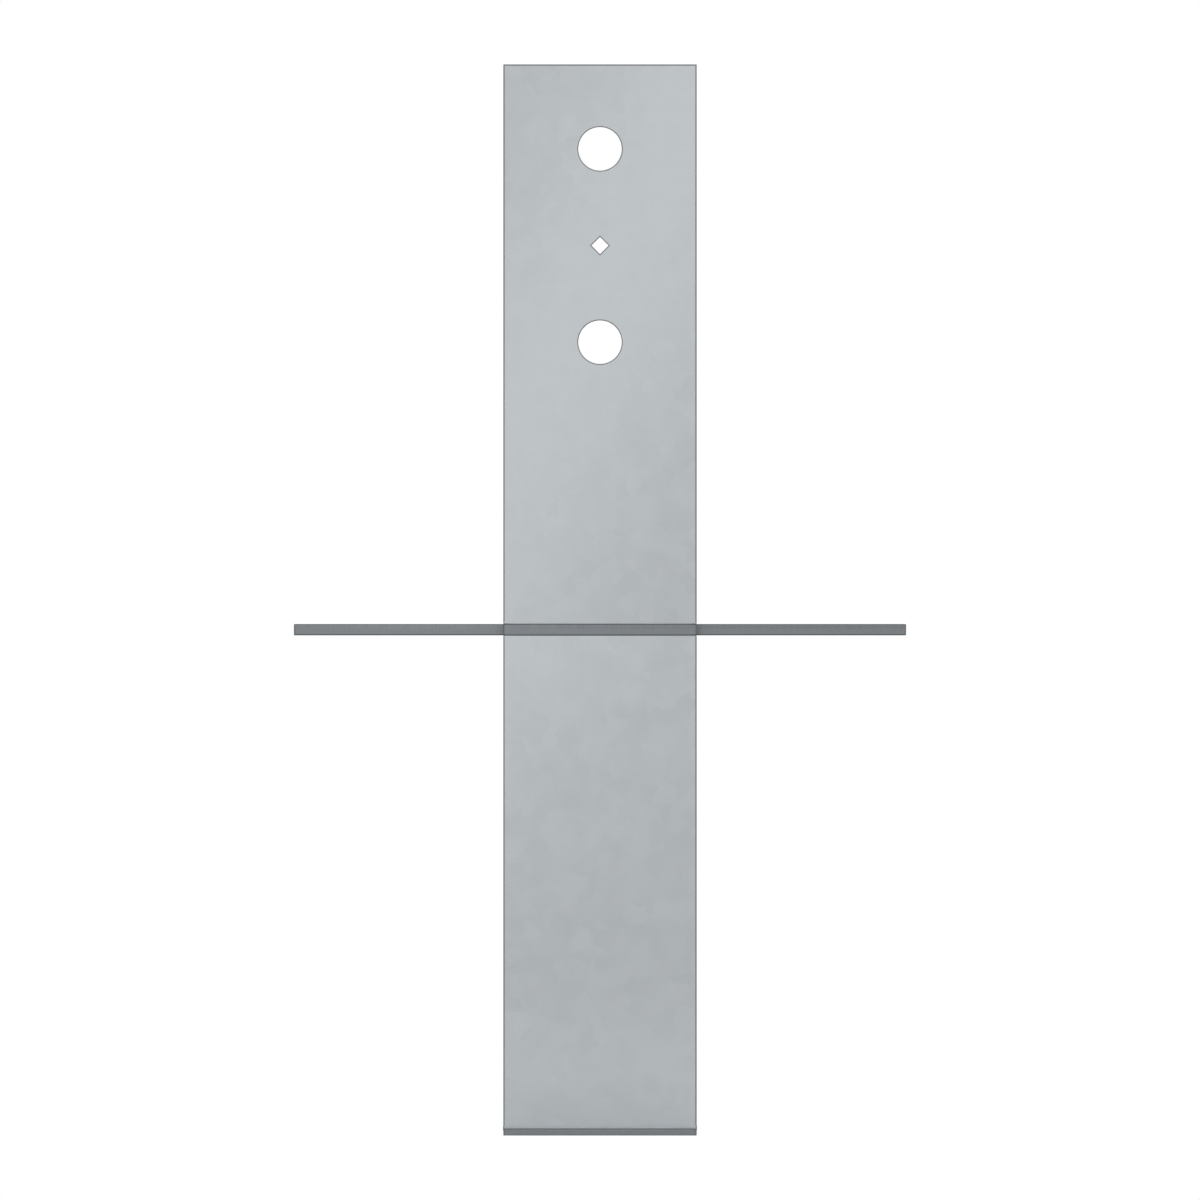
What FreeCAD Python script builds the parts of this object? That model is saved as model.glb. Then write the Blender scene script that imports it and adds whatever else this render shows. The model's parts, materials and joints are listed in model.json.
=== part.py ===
import FreeCAD, Part
import os

# Column base: a welded steel seat that ties a timber column down to a concrete footing.
# The column stands on the base plate, between two upper straps that are bolted through it.
# Two lower straps hang under the plate and are cast into the footing, held by their bent feet.
#
# Frame: millimetres, +Z up. The origin lies on the ground midway between the feet.
# X runs along the plate. The front straps face -Y and the rear ones +Y.

# Strip that the four straps are cut from, with the rounding of its long edges
STRAP_WIDTH = 76.2
STRAP_THICKNESS = 2.75
STRIP_EDGE_RADIUS = 0.4

# Base plate, and the clear room for the column between the straps
PLATE_LENGTH = 241.3
PLATE_THICKNESS = 4.2
SEAT_DEPTH = 139.7

# Holes of the upper straps: two bolts, and a square nail hole that stands on its corner
BOLT_HOLE_DIAMETER = 17.46
BOLT_TO_SEAT = 111.1
BOLT_SPACING = 76.2
BOLT_TO_STRAP_TOP = 33.3
NAIL_HOLE_SIDE = 5.1

# Lower straps: depth below the plate, and the foot that is bent out of each
ANCHOR_DEPTH = 197.4
FOOT_REACH = 31.8
FOOT_BEND_RADIUS = 1.0

# Fillet welds in the corners between the plate and the straps
WELD_LEG = 3.2
WELD_CROWN = 0.5
WELD_END_GAP = 3.0

# Places that several pieces share
SEAT_Z = ANCHOR_DEPTH + PLATE_THICKNESS
LOW_BOLT_Z = SEAT_Z + BOLT_TO_SEAT
HIGH_BOLT_Z = LOW_BOLT_Z + BOLT_SPACING
STRAP_TOP_Z = HIGH_BOLT_Z + BOLT_TO_STRAP_TOP
INNER_FACE_Y = -SEAT_DEPTH / 2
OUTER_FACE_Y = INNER_FACE_Y - STRAP_THICKNESS
HALF_WIDTH = STRAP_WIDTH / 2

ORIGIN = FreeCAD.Vector(0, 0, 0)
RIGHT = FreeCAD.Vector(1, 0, 0)
REAR = FreeCAD.Vector(0, 1, 0)
UP = FreeCAD.Vector(0, 0, 1)
QUARTER_TURN = 90
HALF_TURN = 180
COS_45 = 0.5**0.5


def point(x, y, z):
    return FreeCAD.Vector(x, y, z)


def plate_outline(length, depth):
    """A horizontal rectangle about the Z axis, at the underside of the base plate."""
    corner = point(-length / 2, -depth / 2, ANCHOR_DEPTH)
    return Part.makePlane(length, depth, corner, UP)


def base_plate():
    """The bearing plate, with a tab at each side that reaches out flush with the straps."""
    seat = plate_outline(PLATE_LENGTH, SEAT_DEPTH)
    tabs = plate_outline(STRAP_WIDTH, SEAT_DEPTH + 2 * STRAP_THICKNESS)
    outline = seat.fuse(tabs).removeSplitter().Faces[0]
    return outline.extrude(PLATE_THICKNESS * UP)


def strip(low_z, high_z):
    """A straight length of strip where the front straps stand, with its long edges rounded."""
    corner = point(-HALF_WIDTH, OUTER_FACE_Y, low_z)
    blank = Part.makeBox(STRAP_WIDTH, STRAP_THICKNESS, high_z - low_z, corner)
    long_edges = [edge for edge in blank.Edges if edge.BoundBox.ZLength > STRAP_THICKNESS]
    return blank.makeFillet(STRIP_EDGE_RADIUS, long_edges)


def bolt_hole(z):
    """A round punch through the front strap."""
    return Part.makeCylinder(BOLT_HOLE_DIAMETER / 2, STRAP_THICKNESS, point(0, OUTER_FACE_Y, z), REAR)


def nail_hole(z):
    """A square punch through the front strap, turned to stand on its corner."""
    side = NAIL_HOLE_SIDE
    corner = point(-side / 2, OUTER_FACE_Y, z - side / 2)
    punch = Part.makeBox(side, STRAP_THICKNESS, side, corner)
    return punch.rotated(point(0, OUTER_FACE_Y, z), REAR, QUARTER_TURN / 2)


def upper_strap():
    """The front strap above the plate: a flat length of strip with its holes punched."""
    nail_z = (LOW_BOLT_Z + HIGH_BOLT_Z) / 2
    punches = [bolt_hole(LOW_BOLT_Z), bolt_hole(HIGH_BOLT_Z), nail_hole(nail_z)]
    return strip(SEAT_Z, STRAP_TOP_Z).cut(punches)


def lower_strap():
    """The front strap below the plate: its end is bent a quarter turn outwards into a foot."""
    bend_top_z = STRAP_THICKNESS + FOOT_BEND_RADIUS
    bend_axis = point(0, OUTER_FACE_Y - FOOT_BEND_RADIUS, bend_top_z)
    leg = strip(bend_top_z, ANCHOR_DEPTH)
    section = min(leg.Faces, key=lambda face: face.CenterOfMass.z)
    bend = section.revolve(bend_axis, RIGHT, -QUARTER_TURN)
    foot_section = section.rotated(bend_axis, RIGHT, -QUARTER_TURN)
    foot = foot_section.extrude((FOOT_BEND_RADIUS - FOOT_REACH) * REAR)
    return leg.fuse([bend, foot])


def weld(corner_z, rise):
    """A crowned fillet along the front strap's inner face, rounded off at both ends.

    corner_z is the face of the plate that it lies on. rise is 1 on top of the plate, -1 below it.
    """
    half_run = HALF_WIDTH - WELD_END_GAP - WELD_LEG
    crown = WELD_LEG / 2 + WELD_CROWN * COS_45

    def at(inwards, along_strap):
        return point(-half_run, INNER_FACE_Y + inwards, corner_z + rise * along_strap)

    corner = at(0, 0)
    plate_toe = at(WELD_LEG, 0)
    strap_toe = at(0, WELD_LEG)
    edges = [
        Part.LineSegment(corner, plate_toe).toShape(),
        Part.Arc(plate_toe, at(crown, crown), strap_toe).toShape(),
        Part.LineSegment(strap_toe, corner).toShape(),
    ]
    section = Part.Face(Part.Wire(edges))
    run = 2 * half_run * RIGHT
    left_end = section.revolve(corner, UP, QUARTER_TURN)
    right_end = section.translated(run).revolve(corner + run, UP, -QUARTER_TURN)
    return section.extrude(run).fuse([left_end, right_end])


def export(node, shape):
    shape.exportStep("parts/" + node + ".step")


os.makedirs("parts", exist_ok=True)
export("base_plate", base_plate())
front_pieces = {
    "upper_strap": upper_strap(),
    "lower_strap": lower_strap(),
    "upper_weld": weld(SEAT_Z, 1),
    "lower_weld": weld(ANCHOR_DEPTH, -1),
}
for name, piece in front_pieces.items():
    export("front_" + name, piece)
    export("rear_" + name, piece.rotated(ORIGIN, UP, HALF_TURN))
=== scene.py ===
"""Column base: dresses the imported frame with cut, punched, bent and welded zinc-coated steel."""

import json
import math

import bmesh
import bpy
import numpy as np
from bpy.props import FloatProperty, FloatVectorProperty, PointerProperty
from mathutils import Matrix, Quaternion, Vector


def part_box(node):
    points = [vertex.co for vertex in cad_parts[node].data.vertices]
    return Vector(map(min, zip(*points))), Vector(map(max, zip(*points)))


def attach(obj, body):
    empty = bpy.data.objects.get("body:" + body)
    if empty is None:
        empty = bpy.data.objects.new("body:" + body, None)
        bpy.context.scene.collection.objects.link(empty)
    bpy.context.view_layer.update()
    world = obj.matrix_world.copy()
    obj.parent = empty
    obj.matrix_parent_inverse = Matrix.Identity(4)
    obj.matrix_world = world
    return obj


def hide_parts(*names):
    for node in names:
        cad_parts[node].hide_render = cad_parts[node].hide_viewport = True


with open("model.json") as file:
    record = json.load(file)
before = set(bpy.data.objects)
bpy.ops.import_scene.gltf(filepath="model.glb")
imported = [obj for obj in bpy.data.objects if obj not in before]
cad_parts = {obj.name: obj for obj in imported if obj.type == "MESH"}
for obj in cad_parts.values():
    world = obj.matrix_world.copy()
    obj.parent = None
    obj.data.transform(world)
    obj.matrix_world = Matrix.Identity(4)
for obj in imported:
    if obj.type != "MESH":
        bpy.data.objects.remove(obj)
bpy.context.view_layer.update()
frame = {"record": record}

bl_info = {
    "name": "Column Base Finisher",
    "version": (1, 0, 0),
    "blender": (4, 5, 0),
    "location": "3D View > Sidebar > Column Base",
    "description": "Builds the sheet-metal surfaces, weld beads and studio of a column base",
    "category": "Object",
}

MM = 0.001
BODY = "root"

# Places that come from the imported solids, in metres
PLATE_LOW, PLATE_HIGH = (np.array(corner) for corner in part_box("base_plate"))
UPPER_LOW, UPPER_HIGH = (np.array(corner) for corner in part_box("front_upper_strap"))
LOWER_LOW, LOWER_HIGH = (np.array(corner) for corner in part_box("front_lower_strap"))
BEAD_LOW, BEAD_HIGH = (np.array(corner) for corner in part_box("front_upper_weld"))
MOUNTS = {mount["name"]: mount for mount in frame["record"]["mounts"]}

STRAP_HALF_WIDTH = UPPER_HIGH[0]
STRAP_THICKNESS = UPPER_HIGH[1] - UPPER_LOW[1]
OUTER_FACE_Y = UPPER_LOW[1]
INNER_FACE_Y = UPPER_HIGH[1]
PLATE_THICKNESS = PLATE_HIGH[2] - PLATE_LOW[2]
FOOT_END_Y = LOWER_LOW[1]
BEAD_LEG = BEAD_HIGH[2] - BEAD_LOW[2]

# Factors that keep a point in the front half, or turn it half way round Z into the rear half
FRONT = np.array([1.0, 1.0, 1.0])
REAR = np.array([-1.0, -1.0, 1.0])
SIDES = (("front", FRONT), ("rear", REAR))

# How far the flat of a broad face stops short of a cut edge, whose own profile takes over there
EDGE_MARGIN = 1.0 * MM
# A grid line this close to a corner keeps the shading of the corner tight
CORNER_TUCK = 0.3 * MM
# Points closer than this are one point, and a step may be too long by this share
SAME_POINT = 1e-7
STEP_SLACK = 1e-6
# What stands for the distance from a bead on faces that no bead lies on
FAR_FROM_BEAD = 100.0 * MM

# Grid steps of the blanks, and the finer lines across the bend
PLATE_STEP = 4.0 * MM
PUNCHED_STEP = 1.0 * MM
BENT_STEP = 3.0 * MM
BEND_MARGIN = 3.0 * MM
FINE_BEND_MARGIN = 2.7 * MM
FINE_BEND_LINES = 29
# Half sizes of the cells round the holes, and how their lines gather towards the hole
BOLT_CELL = 16.0 * MM
NAIL_CELL = 9.0 * MM
CELL_LINES = 5
CELL_GATHER = 1.5
# Points on each rounding of a cut and on the land between, and how fast a rounding turns bare
ROUNDING_POINTS = 8
LAND_POINTS = 7
BARE_RAMP = 3
# Points along a weld bead, and across it from toe to toe
BEAD_RUN_POINTS = 521
BEAD_TURN_POINTS = 23

# How strong the arris of a cut is at a blank's corners, along a tab's upper lip and at a seam
CORNER_ARRIS = 0.5
TAB_ARRIS = 0.8
SEAM_ARRIS = 0.5
# The rounding of an upper strap's end is pressed flat by this share, less towards the sides
SEAM_PRESS = 0.7
SEAM_PRESS_FADE = 1.5 * MM
# Share of its bareness that an upper strap's sheared end keeps at the seam: the cut keeps most of its
# zinc colour, painted light that makes the shade in the groove lighter
SEAM_PAINTED_LIGHT_BARE = 0.2
# A little past the rollover's depth, and the share of the thickness past which the inner face lies
ROLLOVER_REACH = 1.01
INNER_FACE_FROM = 0.9

# How far along the coil each blank was cut, in metres, and the slant that the distance runs at
COIL_PLACES = {
    "base_plate": 1.7,
    "front_upper_strap": 0.0,
    "rear_upper_strap": 0.9,
    "front_lower_strap": 0.35,
    "rear_lower_strap": 1.3,
}
COIL_WAY = np.array([1.0, 0.6, 0.0])

# How far the tones of zinc and cut steel swing, and how much of it crystals and clouds make
ZINC_SWING = 0.07
CUT_SWING = 0.2
SPANGLE_SHARE = 0.6
CLOUD_SHARE = 1.3
# Shade of the arrises beside the cut steel, of crazed zinc beside sound zinc, which is partly painted
# shade that holds down the highlight inside the bend, and of its cracks
PLATE_ARRIS_SHADE = 0.2
STRIP_ARRIS_SHADE = 0.5
CRAZED_AND_PAINTED_SHADE = 0.84
CRACK_SHADE = 0.9
CRAZED_ROUGHNESS = 0.62
BURNT_ROUGHNESS = 0.68
# Heights of the coat's relief, the spatter and the cracks, where the cut steel's relief is 1
COAT_HEIGHT = 0.35
SPATTER_HEIGHT = 4.0
CRACK_HEIGHT = -1.5
# Heat colours on the beads
STRAW = (0.34, 0.27, 0.18)
BLUE = (0.2, 0.23, 0.3)


class ColumnBaseSizes(bpy.types.PropertyGroup):
    """Small sizes that the cutting, bending and welding leave behind."""

    rollover: FloatProperty(
        name="Strip rollover",
        description="Rounding where the shear goes into the strip",
        default=0.55 * MM,
        subtype="DISTANCE",
        unit="LENGTH",
    )
    burr: FloatProperty(
        name="Burr side rounding",
        description="Rounding where a punch or shear comes out",
        default=0.25 * MM,
        subtype="DISTANCE",
        unit="LENGTH",
    )
    plate_rollover: FloatProperty(
        name="Plate rollover",
        description="Rounding where the shear goes into the stiffer plate",
        default=0.35 * MM,
        subtype="DISTANCE",
        unit="LENGTH",
    )
    plate_lip: FloatProperty(
        name="Plate burr",
        description="How far the burr of the sheared plate stands out from its underside",
        default=0.25 * MM,
        subtype="DISTANCE",
        unit="LENGTH",
    )
    punch_rollover: FloatProperty(
        name="Punch rollover",
        description="Rounding where a punch goes in",
        default=0.42 * MM,
        subtype="DISTANCE",
        unit="LENGTH",
    )
    punch_flare: FloatProperty(
        name="Punch flare",
        description="How far a hole's wall recedes between the punch's way in and its way out",
        default=0.3 * MM,
        subtype="DISTANCE",
        unit="LENGTH",
    )
    nail_hole_side: FloatProperty(
        name="Nail hole side",
        description="Side of the square nail hole that stands on its corner",
        default=5.1 * MM,
        subtype="DISTANCE",
        unit="LENGTH",
    )
    bend_radius: FloatProperty(
        name="Foot bend radius",
        description="Inside radius of the bend between a lower strap and its foot",
        default=1.0 * MM,
        subtype="DISTANCE",
        unit="LENGTH",
    )
    bend_bulge: FloatProperty(
        name="Bend bulge",
        description="How far the strip's edge is squeezed out on the inside of the bend",
        default=0.22 * MM,
        subtype="DISTANCE",
        unit="LENGTH",
    )
    weld_crown: FloatProperty(
        name="Weld crown",
        description="Swelling of a bead above the straight line between its toes",
        default=0.5 * MM,
        subtype="DISTANCE",
        unit="LENGTH",
    )
    ripple_pitch: FloatProperty(
        name="Ripple pitch",
        description="Distance between the ripples of a bead",
        default=2.3 * MM,
        subtype="DISTANCE",
        unit="LENGTH",
    )
    ripple_height: FloatProperty(
        name="Ripple height",
        description="Height of a ripple above the groove beside it",
        default=0.22 * MM,
        subtype="DISTANCE",
        unit="LENGTH",
    )
    heat_reach: FloatProperty(
        name="Heat reach",
        description="How far from a bead's toe the zinc is burnt off",
        default=3.5 * MM,
        subtype="DISTANCE",
        unit="LENGTH",
    )


class ColumnBaseFinishes(bpy.types.PropertyGroup):
    """Colours and grain sizes of the steel."""

    upper_zinc: FloatVectorProperty(
        name="Upper strap zinc",
        description="Zinc coat of the straps above the plate",
        default=(0.42, 0.444, 0.461),
        subtype="COLOR",
        min=0,
        max=1,
    )
    # Painted light: a lighter copy of the strip's zinc than the upper straps' one, making up for the
    # less light that reaches the straps below the plate
    lower_zinc_painted_lighter: FloatVectorProperty(
        name="Lower strap zinc",
        description="Zinc coat of the straps below the plate",
        default=(0.445, 0.471, 0.489),
        subtype="COLOR",
        min=0,
        max=1,
    )
    plate_zinc: FloatVectorProperty(
        name="Plate zinc",
        description="Zinc coat of the base plate",
        default=(0.442, 0.468, 0.488),
        subtype="COLOR",
        min=0,
        max=1,
    )
    cut_steel: FloatVectorProperty(
        name="Cut steel",
        description="Bare steel of sheared edges and punched holes",
        default=(0.1845, 0.199, 0.2115),
        subtype="COLOR",
        min=0,
        max=1,
    )
    burnt_zinc: FloatVectorProperty(
        name="Burnt zinc",
        description="Steel beside a weld that has lost its zinc to the heat",
        default=(0.225, 0.215, 0.2),
        subtype="COLOR",
        min=0,
        max=1,
    )
    zinc_oxide: FloatVectorProperty(
        name="Zinc oxide",
        description="Pale fringe of oxide that settles round the burnt zinc",
        default=(0.58, 0.575, 0.53),
        subtype="COLOR",
        min=0,
        max=1,
    )
    weld_steel: FloatVectorProperty(
        name="Weld steel",
        description="Crests of the weld beads",
        default=(0.34, 0.345, 0.355),
        subtype="COLOR",
        min=0,
        max=1,
    )
    weld_scale: FloatVectorProperty(
        name="Weld scale",
        description="Oxide in the grooves and along the toes of the beads",
        default=(0.18, 0.17, 0.158),
        subtype="COLOR",
        min=0,
        max=1,
    )
    spangle_size: FloatProperty(
        name="Spangle size",
        description="Width of the zinc's crystals",
        default=6.6 * MM,
        subtype="DISTANCE",
        unit="LENGTH",
    )


class ColumnBaseStudio(bpy.types.PropertyGroup):
    """View, lamps and floor."""

    view_width: FloatProperty(
        name="View width",
        description="Width that the straight-on view takes in",
        default=0.473,
        subtype="DISTANCE",
        unit="LENGTH",
    )
    view_height: FloatProperty(
        name="View height",
        description="Height of the middle of the view above the floor",
        default=0.21108,
        subtype="DISTANCE",
        unit="LENGTH",
    )
    floor_colour: FloatVectorProperty(
        name="Floor colour",
        description="Colour of the studio floor",
        default=(0.93, 0.93, 0.925),
        subtype="COLOR",
        min=0,
        max=1,
    )
    strip_power: FloatProperty(
        name="Strip lamps",
        description="Power of each slanted strip lamp, close in front and close behind",
        default=0.085,
        unit="POWER",
    )
    low_power: FloatProperty(
        name="Low lamps",
        description="Power of each low lamp, close in front of a foot and close behind the other",
        default=0.0031,
        unit="POWER",
    )
    key_power: FloatProperty(
        name="Key lamp",
        description="Power of the large lamp at the front left",
        default=2.0,
        unit="POWER",
    )
    fill_power: FloatProperty(
        name="Fill lamp",
        description="Power of the lamp at the right",
        default=2.0,
        unit="POWER",
    )
    top_power: FloatProperty(
        name="Top lamp",
        description="Power of the lamp above",
        default=9.0,
        unit="POWER",
    )
    back_power: FloatProperty(
        name="Back lamp",
        description="Power of the lamp behind",
        default=2.0,
        unit="POWER",
    )
    sky_strength: FloatProperty(
        name="Sky",
        description="Strength of the even light from all round",
        default=0.6,
    )


def spaced(stops, step):
    """Grid lines along one axis: every stop, and even steps of at most step between two stops."""
    spans = [
        np.linspace(low, high, max(1, math.ceil((high - low) / step - STEP_SLACK)) + 1)[:-1]
        for low, high in zip(stops, stops[1:])
    ]
    return np.append(np.concatenate(spans), stops[-1])


def tucked(low, high, *between):
    """Stops from low to high with one more just inside each end."""
    return [low, low + CORNER_TUCK, *between, high - CORNER_TUCK, high]


class Skin:
    """Patches of one sheet-metal piece before it is bent or stood up.

    A point is u across the sheet, s along it, d down from its first broad face, how bare it is, from
    0 on the coated faces to 1 where the steel was cut, and how near it is to an arris of the cut.
    """

    def __init__(self):
        self.points = []
        self.quads = []
        self.count = 0

    def add(self, grid, closed=False, keep=None):
        """Adds a grid of points. closed joins its last column to the first. keep picks cells."""
        rows, columns = grid.shape[:2]
        index = np.arange(rows * columns).reshape(rows, columns) + self.count
        if closed:
            index = np.column_stack([index, index[:, 0]])
        cells = np.stack([index[:-1, :-1], index[:-1, 1:], index[1:, 1:], index[1:, :-1]], axis=-1)
        self.quads.append(cells.reshape(-1, 4) if keep is None else cells[keep])
        self.points.append(grid.reshape(-1, grid.shape[-1]))
        self.count += rows * columns

    def arrays(self):
        """All points that a face uses, and the faces between them."""
        used, quads = np.unique(np.concatenate(self.quads), return_inverse=True)
        return np.concatenate(self.points)[used], quads.reshape(-1, 4)


def cut_profile(thickness, rollover, burr, flare=0.0, lip=0.0):
    """Section of a sheared or punched edge, as rows of inset, depth, bareness and arris.

    From the margin of the first face it follows a quarter circle of the rollover radius, a straight
    land, and a quarter circle of the burr radius, and ends on the margin of the second face. A lip
    stretches that last quarter until it stands out from the second face by the lip's height. The
    flare leans the broken part of the land: it stands half the flare proud down to a third of the
    depth, and recedes evenly to half the flare behind. Bareness climbs from each face's margin as
    the sine of the rounding's turn. The arris is 1 in the middle of each rounding and fades along it
    as a sine of twice the turn.
    """
    turn = np.linspace(0, np.pi / 2, ROUNDING_POINTS)
    land = np.linspace(rollover, thickness - burr, LAND_POINTS)[1:-1]
    arris = np.sin(2 * turn).clip(0)
    inset = np.concatenate(
        [
            [EDGE_MARGIN],
            rollover * (1 - np.sin(turn)),
            np.zeros_like(land),
            burr * (1 - np.cos(turn)),
            [EDGE_MARGIN],
        ]
    )
    depth = np.concatenate(
        [
            [0],
            rollover * (1 - np.cos(turn)),
            land,
            thickness - burr + (burr + lip) * np.sin(turn),
            [thickness],
        ]
    )
    bare = np.concatenate(
        [
            [0],
            np.clip(BARE_RAMP * np.sin(turn), 0, 1),
            np.ones_like(land),
            np.clip(BARE_RAMP * np.cos(turn), 0, 1),
            [0],
        ]
    )
    arris = np.concatenate([[0], arris, np.zeros_like(land), arris, [0]])
    inset[1:-1] += flare * (np.clip(1.5 * depth[1:-1] / thickness - 0.5, 0, 1) - 0.5)
    return np.stack([inset, depth, bare, arris], axis=-1)


def outline_walk(corners, u_lines, s_lines):
    """Walks an outline of square corners once round, anticlockwise, stopping at every grid line.

    Gives the points, the way out at each, and which of them are corners. The way out is a side's own
    normal, or at a corner the sum of both, so a step out by one length moves all sides by that length.
    """
    corners = np.asarray(corners, float)
    runs = np.roll(corners, -1, axis=0) - corners
    ways = np.sign(runs)
    normals = np.stack([ways[:, 1], -ways[:, 0]], axis=-1)
    points, outward, turns = [], [], []
    for side, (start, run) in enumerate(zip(corners, runs)):
        axis = int(abs(run[1]) > abs(run[0]))
        lines = (u_lines, s_lines)[axis]
        low, high = sorted((start[axis], start[axis] + run[axis]))
        stops = lines[(lines > low - SAME_POINT) & (lines < high + SAME_POINT)]
        stops = stops[::-1] if run[axis] < 0 else stops
        row = np.tile(start, (len(stops) - 1, 1))
        row[:, axis] = stops[:-1]
        way = np.tile(normals[side], (len(row), 1))
        way[0] += normals[side - 1]
        points.append(row)
        outward.append(way)
        turns.append(np.arange(len(row)) == 0)
    return np.concatenate(points), np.concatenate(outward), np.concatenate(turns)


def rectangle(low_u, high_u, low_s, high_s):
    """Corners of a rectangle, anticlockwise."""
    return [(low_u, low_s), (high_u, low_s), (high_u, high_s), (low_u, high_s)]


def round_punch(radius):
    """Edge of a round hole: a circle whose radius grows with the inset from the wall."""
    return lambda turn, inset: radius + inset + 0 * turn


def diamond_punch(side):
    """Edge of a square hole on its corner: half diagonal over |cos| + |sin| of the turn."""
    half_diagonal = side / math.sqrt(2)
    return lambda turn, inset: (half_diagonal + math.sqrt(2) * inset) / (
        np.abs(np.cos(turn)) + np.abs(np.sin(turn))
    )


def cut_blank(corners, u_lines, s_lines, kept, punches, thickness, profile, punch_profile=None):
    """Skin of a flat blank: two broad faces on one grid, its cut outline, and its punched holes.

    kept are rectangles that the faces fill. A punch is its middle, the half sizes of the cell round
    it, and its edge as a function of turn and inset. Its cell's grid lines run straight from the
    hole to the cell's sides, and its wall is the punch's profile carried round the hole.
    """
    skin = Skin()
    mid_u = (u_lines[:-1] + u_lines[1:]) / 2
    mid_s = (s_lines[:-1] + s_lines[1:]) / 2
    cell_u, cell_s = np.meshgrid(mid_u, mid_s)
    keep = np.zeros(cell_u.shape, bool)
    for low_u, high_u, low_s, high_s in kept:
        keep |= (cell_u > low_u) & (cell_u < high_u) & (cell_s > low_s) & (cell_s < high_s)
    for (hole_u, hole_s), (half_u, half_s), _ in punches:
        keep &= (np.abs(cell_u - hole_u) > half_u) | (np.abs(cell_s - hole_s) > half_s)
    face = np.stack(np.meshgrid(u_lines, s_lines), axis=-1)

    def traced(points, *traits):
        """Points with each trait as one more column."""
        columns = [np.broadcast_to(trait, points.shape[:-1]) for trait in traits]
        return np.concatenate([points, np.stack(columns, axis=-1)], axis=-1)

    for depth in (0.0, thickness):
        skin.add(traced(face, depth, 0.0, 0.0), keep=keep)

    inset, depth, bare, arris = profile[..., None].transpose(1, 0, 2)
    edge, outward, turns = outline_walk(corners, u_lines, s_lines)
    rim = edge[None] + (EDGE_MARGIN - inset)[..., None] * outward[None]
    skin.add(traced(rim, depth, bare, np.maximum(arris, CORNER_ARRIS * bare * turns)), closed=True)

    for middle, (half_u, half_s), edge_at in punches:
        inset, depth, bare, arris = punch_profile[..., None].transpose(1, 0, 2)
        middle = np.asarray(middle)
        cell = rectangle(
            middle[0] - half_u, middle[0] + half_u, middle[1] - half_s, middle[1] + half_s
        )
        around, _, _ = outline_walk(cell, u_lines, s_lines)
        turn = np.arctan2(around[:, 1] - middle[1], around[:, 0] - middle[0])
        ray = np.stack([np.cos(turn), np.sin(turn)], axis=-1)
        hole = middle + edge_at(turn[None], inset)[..., None] * ray[None]
        skin.add(traced(hole, depth, bare, arris), closed=True)
        share = np.linspace(0, 1, CELL_LINES)[:, None, None] ** CELL_GATHER
        for row, depth_here in ((0, 0.0), (-1, thickness)):
            spread = hole[row] * (1 - share) + around * share
            skin.add(traced(spread, depth_here, 0.0, 0.0), closed=True)
    return skin


def add_piece(name, material, points, quads, attributes):
    """Makes a closed mesh in the row frame that stands for the CAD node of the same name."""
    mesh = bpy.data.meshes.new(name)
    mesh.from_pydata(points.tolist(), [], quads.tolist())
    for label, values in attributes.items():
        kind, key = ("FLOAT_VECTOR", "vector") if values.ndim == 2 else ("FLOAT", "value")
        layer = mesh.attributes.new(label, kind, "POINT")
        layer.data.foreach_set(key, np.ascontiguousarray(values, np.float32).ravel())
    shell = bmesh.new()
    shell.from_mesh(mesh)
    bmesh.ops.remove_doubles(shell, verts=shell.verts, dist=SAME_POINT)
    bmesh.ops.recalc_face_normals(shell, faces=shell.faces)
    shell.to_mesh(mesh)
    shell.free()
    mesh.shade_smooth()
    mesh.materials.append(material)
    piece = bpy.data.objects.new(name + "_skin", mesh)
    bpy.context.scene.collection.objects.link(piece)
    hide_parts(name)
    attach(piece, BODY)
    return piece


def from_bead(across, away, touched):
    """Distance from a bead's toe, root of the squares of the ways off its side and past its end.

    Where touched is false, on faces that the bead doesn't lie on, it is far.
    """
    past_end = np.clip(np.abs(across) - (BEAD_HIGH[0] - BEAD_LEG / 2), 0, None)
    return np.where(touched, np.hypot(np.clip(away - BEAD_LEG, 0, None), past_end), FAR_FROM_BEAD)


def sheet_traits(name, flat, bare, arris, toe):
    """What a sheet's material reads: place on the coil, bareness, arris, and distance from a bead.

    Each piece has its own place on the coil that it was cut from, so no two look the same.
    """
    sheet = flat[:, :3] + COIL_PLACES[name] * COIL_WAY
    return {"sheet": sheet, "bare": bare, "arris": arris, "toe": toe}


def wander(run, seed, length):
    """Slow wavering between about -1 and 1: three sines of unlike lengths and random phases."""
    shares, lengths = np.array([0.5, 0.3, 0.2]), length * np.array([1.0, 0.63, 0.37])
    phases = np.random.default_rng(seed).uniform(0, 2 * np.pi, 3)
    turns = 2 * np.pi * run[..., None] / lengths
    return (np.sin(turns + phases) * shares).sum(-1)


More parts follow.
